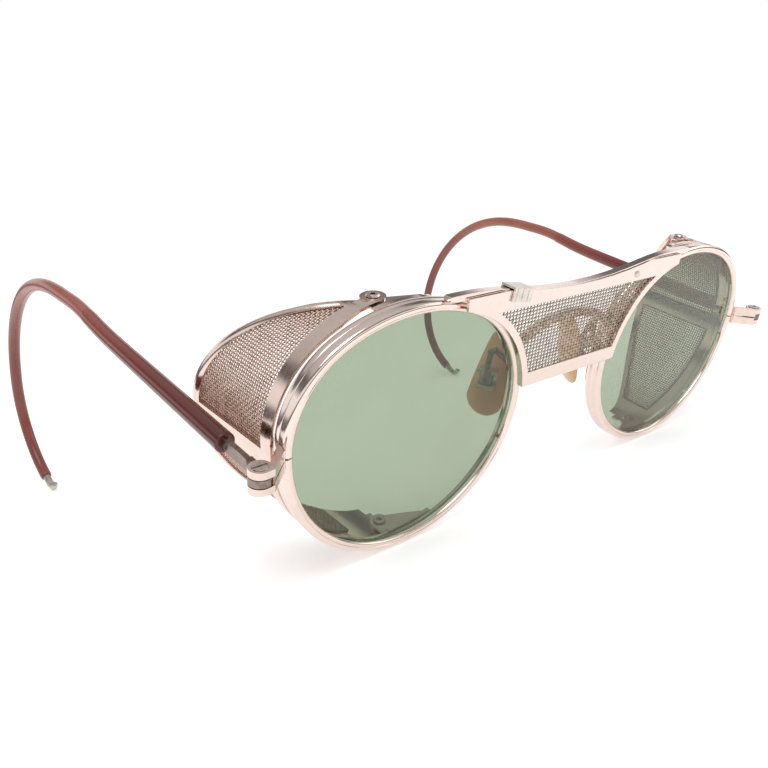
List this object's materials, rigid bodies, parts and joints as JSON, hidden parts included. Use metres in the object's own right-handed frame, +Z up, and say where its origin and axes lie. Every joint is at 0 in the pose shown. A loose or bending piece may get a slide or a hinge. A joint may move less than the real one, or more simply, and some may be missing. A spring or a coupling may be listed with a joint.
{
  "type": "safety goggles",
  "caption": "Wire-rimmed safety goggles with flat green lenses, woven-wire bridge guard, swinging side shields, rocking nose pads and folding cable temples.",
  "frame": {"origin": "middle of the bounding box in plan, on the surface that the goggles rest on", "axes": "+Z up; the wearer looks along -Y, and the wearer's left is +X; the goggles lie lens-down on the fronts of both eyewires and the curls of both temple tips"},
  "size_m": [0.1454, 0.133, 0.0536],
  "materials": {
    "eyewire": "polished pinkish nickel silver",
    "lens": "clear green glass",
    "fitting": "worn nickel plate",
    "screw": "worn steel",
    "guard": "satin plated sheet",
    "cloth": "plain woven wire cloth",
    "rivet": "tubular rivets",
    "shield": "polished plated sheet",
    "shank": "dark flat shank",
    "sleeve": "glossy red-brown covering",
    "tip": "bare wire tip",
    "pad": "translucent flesh-coloured plastic"
  },
  "bodies": {
    "front": {"rim_left": "eyewire", "rim_right": "eyewire", "lens_left": "lens", "lens_right": "lens", "endpiece_left": "fitting", "endpiece_right": "fitting", "hinge_screw_left": "screw", "hinge_screw_right": "screw", "saddle_bridge": "eyewire", "brow_bar": "eyewire", "guard_frame": "guard", "guard_mesh": "cloth", "guard_clip": "fitting", "guard_rivet": "fitting", "bracket_top_left": "eyewire", "bracket_top_right": "eyewire", "bracket_bottom_left": "eyewire", "bracket_bottom_right": "eyewire", "pivot_rivets_left": "rivet", "pivot_rivets_right": "rivet", "pad_arm_left": "fitting", "pad_arm_right": "fitting"},
    "temple_left": {"temple_shank_left": "shank", "temple_sleeve_left": "sleeve", "ear_cable_left": "sleeve", "cable_tip_left": "tip"},
    "shield_left": {"shield_frame_left": "shield", "shield_mesh_upper_left": "cloth", "shield_mesh_lower_left": "cloth", "shield_catch_left": "fitting"},
    "pad_left": {"nose_pad_left": "pad", "pad_box_left": "fitting", "pad_pin_left": "fitting"},
    "temple_right": {"temple_shank_right": "shank", "temple_sleeve_right": "sleeve", "ear_cable_right": "sleeve", "cable_tip_right": "tip"},
    "shield_right": {"shield_frame_right": "shield", "shield_mesh_upper_right": "cloth", "shield_mesh_lower_right": "cloth", "shield_catch_right": "fitting"},
    "pad_right": {"nose_pad_right": "pad", "pad_box_right": "fitting", "pad_pin_right": "fitting"}
  },
  "joints": [
    {"name": "temple_fold_left", "type": "hinge", "parent": "front", "child": "temple_left", "pos_m": [0.0668, -0.06027, 0.02297], "axis": [0, -0.3245, 0.9459], "range_deg": [0, 33]},
    {"name": "temple_fold_right", "type": "hinge", "parent": "front", "child": "temple_right", "pos_m": [-0.0668, -0.06027, 0.02297], "axis": [0, 0.3245, -0.9459], "range_deg": [0, 33]},
    {"name": "shield_swing_left", "type": "hinge", "parent": "front", "child": "shield_left", "pos_m": [0.0398, -0.0506, 0.02315], "axis": [0.0991, -0.3229, 0.9412], "range_deg": [0, 89.5]},
    {"name": "shield_swing_right", "type": "hinge", "parent": "front", "child": "shield_right", "pos_m": [-0.0398, -0.0506, 0.02315], "axis": [0.0991, 0.3229, -0.9412], "range_deg": [0, 89.5]},
    {"name": "pad_rock_left", "type": "hinge", "parent": "front", "child": "pad_left", "pos_m": [0.01419, -0.05077, 0.02506], "axis": [-0.1205, -0.2555, 0.9593], "range_deg": [-10, 10]},
    {"name": "pad_rock_right", "type": "hinge", "parent": "front", "child": "pad_right", "pos_m": [-0.01419, -0.05077, 0.02506], "axis": [-0.1205, 0.2555, -0.9593], "range_deg": [-10, 10]}
  ],
  "couplings": [
    {"joint": "shield_swing_left", "follows": "temple_fold_left", "ratio": 2.7},
    {"joint": "shield_swing_right", "follows": "temple_fold_right", "ratio": 2.7}
  ]
}
